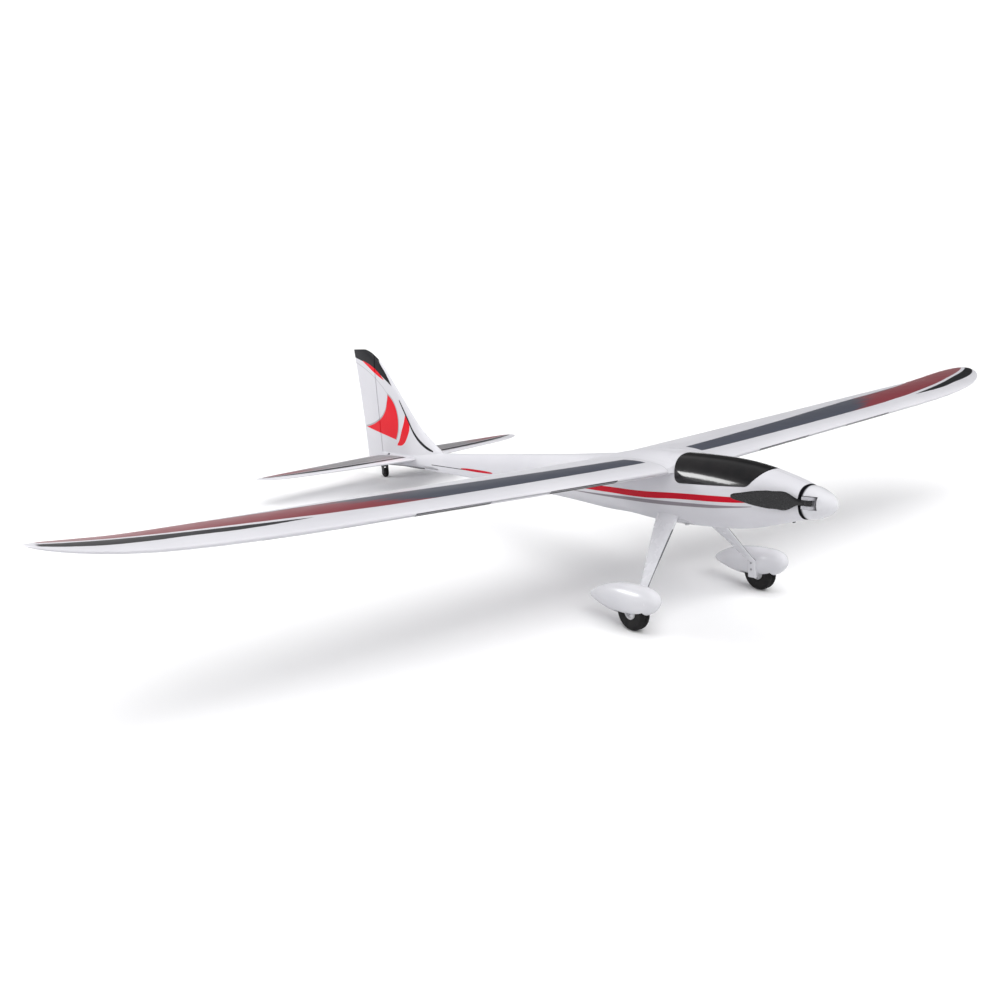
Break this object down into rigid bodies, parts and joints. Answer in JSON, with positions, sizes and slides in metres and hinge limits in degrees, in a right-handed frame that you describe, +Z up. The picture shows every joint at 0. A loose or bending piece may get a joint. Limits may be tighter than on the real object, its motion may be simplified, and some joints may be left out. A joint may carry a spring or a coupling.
{
  "type": "model glider with electric motor",
  "caption": "Electric model glider with long gently upswept wings, a folding propeller, gloss black hatch and a fixed two-wheel gear with a tail wheel.",
  "frame": {"origin": "on the ground, at the centre of the bounding box of the glider as it stands on its three wheels", "axes": "+X to the left wing tip, +Y aft, +Z up; the nose points along -Y, pitched 8 degrees up"},
  "size_m": [1.5, 1.0306, 0.2153],
  "materials": {
    "white_foam": "satin moulded foam with a film finish",
    "gloss_black_hatch": "gloss black",
    "white_plastic": "gloss white moulded plastic",
    "grey_hub": "grey moulded plastic",
    "black_blade": "satin black",
    "steel": "plain spring steel",
    "carbon": "carbon tube",
    "motor_steel": "anodised dark can",
    "motor_core": "laminations and copper windings",
    "servo_case": "black moulded case",
    "white_nylon": "moulded nylon",
    "black_nylon": "moulded nylon",
    "plywood": "light plywood",
    "battery_wrap": "shrink wrap",
    "strap": "hook and loop webbing",
    "electronics": "black sleeve",
    "tyre_rubber": "matt rubber"
  },
  "bodies": {
    "airframe": {"fuselage_left": "white_foam", "fuselage_right": "white_foam", "wing_left": "white_foam", "wing_right": "white_foam", "spar_tube": "carbon", "stabilizer": "white_foam", "motor_mount": "black_nylon", "motor_screws": "steel", "motor_stator": "motor_core", "battery_tray": "plywood", "battery": "battery_wrap", "battery_strap": "strap", "speed_controller": "electronics", "receiver": "electronics", "elevator_servo": "servo_case", "rudder_servo": "servo_case", "aileron_servo_left": "servo_case", "aileron_servo_right": "servo_case", "gear_block": "white_plastic", "gear_screws": "steel", "gear_wire": "steel", "leg_fairing_left": "white_plastic", "leg_fairing_right": "white_plastic", "wheel_pant_left": "white_plastic", "wheel_pant_right": "white_plastic", "wheel_collars": "steel"},
    "propeller": {"motor_bell": "motor_steel", "spinner_backplate": "grey_hub", "spinner_cone": "white_plastic", "blade_pins": "steel"},
    "blade_left": {"blade_left": "black_blade"},
    "blade_right": {"blade_right": "black_blade"},
    "hatch": {"canopy_hatch": "gloss_black_hatch"},
    "aileron_left": {"aileron_left": "white_foam", "aileron_horn_left": "black_nylon"},
    "aileron_right": {"aileron_right": "white_foam", "aileron_horn_right": "black_nylon"},
    "aileron_arm_left": {"aileron_servo_arm_left": "white_nylon"},
    "aileron_arm_right": {"aileron_servo_arm_right": "white_nylon"},
    "aileron_rod_left": {"aileron_pushrod_left": "steel"},
    "aileron_rod_right": {"aileron_pushrod_right": "steel"},
    "elevator": {"elevator_left": "white_foam", "elevator_right": "white_foam", "elevator_joiner": "steel", "elevator_horn": "black_nylon"},
    "elevator_arm": {"elevator_servo_arm": "white_nylon"},
    "elevator_rod": {"elevator_pushrod": "steel"},
    "rudder": {"rudder": "white_foam", "rudder_horn": "black_nylon", "tail_fork": "black_nylon"},
    "rudder_arm": {"rudder_servo_arm": "white_nylon"},
    "rudder_rod": {"rudder_pushrod": "steel"},
    "wheel_left": {"tyre_left": "tyre_rubber", "hub_left": "white_nylon"},
    "wheel_right": {"tyre_right": "tyre_rubber", "hub_right": "white_nylon"},
    "tail_wheel": {"tail_tyre": "tyre_rubber", "tail_hub": "black_nylon"}
  },
  "joints": [
    {"name": "propeller_spin", "type": "hinge", "parent": "airframe", "child": "propeller", "pos_m": [0, -0.49233, 0.17747], "axis": [0, -0.9903, 0.1392], "continuous": true},
    {"name": "blade_left_fold", "type": "hinge", "parent": "propeller", "child": "blade_left", "pos_m": [0.01822, -0.49278, 0.17429], "axis": [-0.1736, -0.1371, -0.9752], "range_deg": [0, 68.7]},
    {"name": "blade_right_fold", "type": "hinge", "parent": "propeller", "child": "blade_right", "pos_m": [-0.01822, -0.49188, 0.18065], "axis": [0.1736, 0.1371, 0.9752], "range_deg": [0, 68.7]},
    {"name": "hatch_lift", "type": "slide", "parent": "airframe", "child": "hatch", "axis": [0, 0.1392, 0.9903], "range_m": [0, 0.08]},
    {"name": "aileron_left_deflect", "type": "hinge", "parent": "airframe", "child": "aileron_left", "pos_m": [0.46995, -0.18338, 0.18427], "axis": [0.9993, 0.0051, 0.0366], "range_deg": [-20, 20]},
    {"name": "aileron_right_deflect", "type": "hinge", "parent": "airframe", "child": "aileron_right", "pos_m": [-0.46995, -0.18338, 0.18427], "axis": [0.9993, -0.0051, -0.0366], "range_deg": [-20, 20]},
    {"name": "aileron_left_arm_turn", "type": "hinge", "parent": "airframe", "child": "aileron_arm_left", "pos_m": [0.47013, -0.23161, 0.18601], "axis": [0.9993, 0.0051, 0.0366], "range_deg": [-20, 20]},
    {"name": "aileron_right_arm_turn", "type": "hinge", "parent": "airframe", "child": "aileron_arm_right", "pos_m": [-0.47013, -0.23161, 0.18601], "axis": [0.9993, -0.0051, -0.0366], "range_deg": [-20, 20]},
    {"name": "aileron_left_rod_pivot", "type": "hinge", "parent": "aileron_arm_left", "child": "aileron_rod_left", "pos_m": [0.47069, -0.23369, 0.17116], "axis": [0.9993, 0.0051, 0.0366], "range_deg": [-20, 20]},
    {"name": "aileron_right_rod_pivot", "type": "hinge", "parent": "aileron_arm_right", "child": "aileron_rod_right", "pos_m": [-0.47069, -0.23369, 0.17116], "axis": [0.9993, -0.0051, -0.0366], "range_deg": [-20, 20]},
    {"name": "elevator_deflect", "type": "hinge", "parent": "airframe", "child": "elevator", "pos_m": [0, 0.38979, 0.04481], "axis": [1, 0, 0], "range_deg": [-18, 18]},
    {"name": "elevator_arm_turn", "type": "hinge", "parent": "airframe", "child": "elevator_arm", "pos_m": [-0.004, -0.21427, 0.12971], "axis": [1, 0, 0], "range_deg": [-18, 18]},
    {"name": "elevator_rod_pivot", "type": "hinge", "parent": "elevator_arm", "child": "elevator_rod", "pos_m": [-0.004, -0.2158, 0.11882], "axis": [1, 0, 0], "range_deg": [-18, 18]},
    {"name": "rudder_deflect", "type": "hinge", "parent": "airframe", "child": "rudder", "pos_m": [0, 0.4207, 0.04915], "axis": [0, 0.1392, 0.9903], "range_deg": [-25, 25]},
    {"name": "rudder_arm_turn", "type": "hinge", "parent": "airframe", "child": "rudder_arm", "pos_m": [-0.008, -0.17583, 0.11582], "axis": [0, 0.1392, 0.9903], "range_deg": [-25, 25]},
    {"name": "rudder_rod_pivot", "type": "hinge", "parent": "rudder_arm", "child": "rudder_rod", "pos_m": [0.004, -0.17583, 0.11582], "axis": [0, 0.1392, 0.9903], "range_deg": [-25, 25]},
    {"name": "wheel_left_roll", "type": "hinge", "parent": "airframe", "child": "wheel_left", "pos_m": [0.1113, -0.32517, 0.0225], "axis": [1, 0, 0], "continuous": true},
    {"name": "wheel_right_roll", "type": "hinge", "parent": "airframe", "child": "wheel_right", "pos_m": [-0.1113, -0.32517, 0.0225], "axis": [1, 0, 0], "continuous": true},
    {"name": "tail_wheel_roll", "type": "hinge", "parent": "rudder", "child": "tail_wheel", "pos_m": [0, 0.42178, 0.008], "axis": [1, 0, 0], "continuous": true}
  ],
  "couplings": [
    {"joint": "aileron_right_deflect", "follows": "aileron_left_deflect", "ratio": -1},
    {"joint": "aileron_left_arm_turn", "follows": "aileron_left_deflect", "ratio": 1},
    {"joint": "aileron_right_arm_turn", "follows": "aileron_left_deflect", "ratio": -1},
    {"joint": "aileron_left_rod_pivot", "follows": "aileron_left_deflect", "ratio": -1},
    {"joint": "aileron_right_rod_pivot", "follows": "aileron_left_deflect", "ratio": 1},
    {"joint": "elevator_arm_turn", "follows": "elevator_deflect", "ratio": 1},
    {"joint": "elevator_rod_pivot", "follows": "elevator_deflect", "ratio": -1},
    {"joint": "rudder_arm_turn", "follows": "rudder_deflect", "ratio": 1},
    {"joint": "rudder_rod_pivot", "follows": "rudder_deflect", "ratio": -1}
  ]
}
